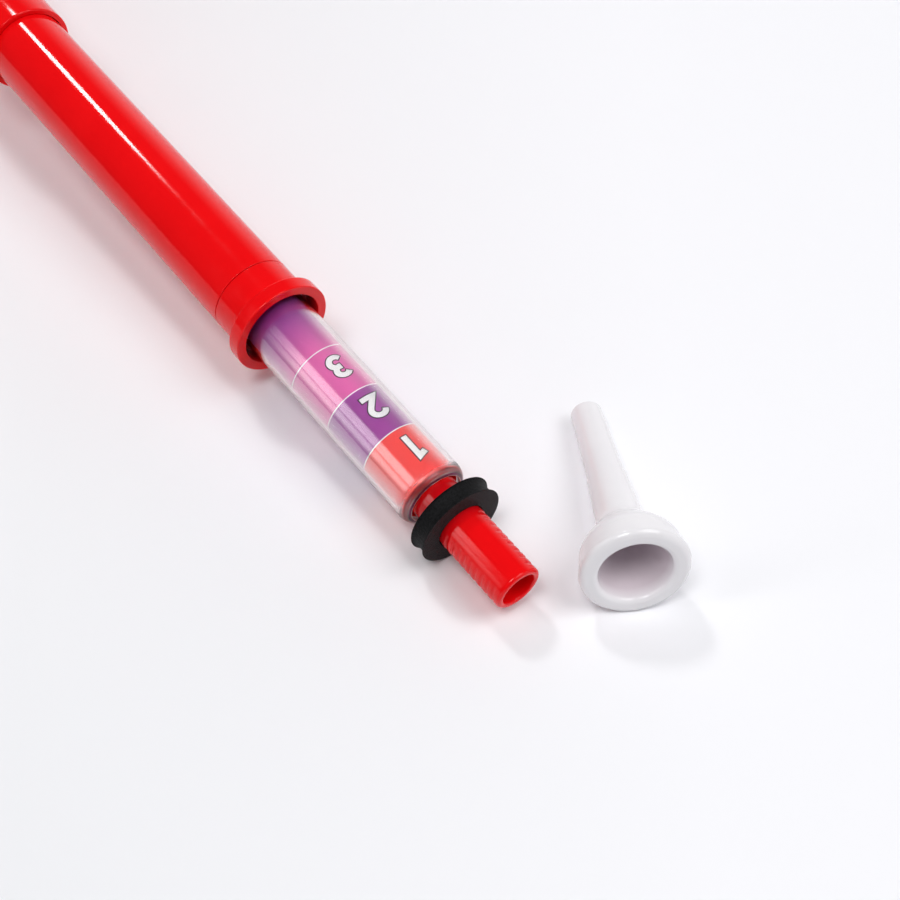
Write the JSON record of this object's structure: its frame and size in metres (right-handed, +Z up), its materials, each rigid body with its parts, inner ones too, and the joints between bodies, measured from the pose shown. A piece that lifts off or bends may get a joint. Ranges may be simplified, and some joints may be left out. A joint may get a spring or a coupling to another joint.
{
  "type": "plastic buzz horn",
  "caption": "Red plastic slide horn with a flared bell, a clear slide tube over coloured numbered bands, a foam ring, a grooved receiver and a loose cup mouthpiece.",
  "frame": {"origin": "on the table, under the middle of the horn and its loose mouthpiece", "axes": "+X along the horn towards the receiver, +Y towards the side where the mouthpiece lies, +Z up from the table"},
  "size_m": [0.5115, 0.1311, 0.1047],
  "materials": {
    "red_plastic": "glossy moulded red plastic",
    "clear_plastic": "clear polished plastic",
    "printed_film": "printed film with coloured bands and plain numbers",
    "white_plastic": "glossy off-white plastic",
    "grey_plastic": "satin grey low-friction plastic",
    "seal_rubber": "black rubber",
    "black_foam": "black closed-cell foam, die cut"
  },
  "bodies": {
    "horn_body": {"bell": "red_plastic", "outer_tube": "red_plastic", "slide_collar": "red_plastic", "guide_bush": "grey_plastic"},
    "piston": {"slide_piston": "grey_plastic", "front_seal_ring": "seal_rubber", "rear_seal_ring": "seal_rubber"},
    "slide": {"slide_tube": "clear_plastic", "number_sleeve": "printed_film", "air_tube": "red_plastic", "mouthpiece_receiver": "red_plastic"},
    "bumper": {"foam_ring": "black_foam"},
    "loose_mouthpiece": {"mouthpiece": "white_plastic"}
  },
  "joints": [
    {"name": "slide_travel", "type": "slide", "parent": "horn_body", "child": "piston", "axis": [0.9968, 0, -0.0805], "range_m": [-0.0925, 0.063]},
    {"name": "slide_turn", "type": "hinge", "parent": "piston", "child": "slide", "pos_m": [0.0872, -0.013, 0.0251], "axis": [0.9968, 0, -0.0805], "continuous": true},
    {"name": "foam_ring_shift", "type": "slide", "parent": "slide", "child": "bumper", "axis": [0.9968, 0, -0.0805], "range_m": [-0.0065, 0.03]},
    {"name": "mouthpiece_lift", "type": "slide", "parent": "horn_body", "child": "loose_mouthpiece", "axis": [0, 0, 1], "range_m": [0, 0.06]}
  ]
}
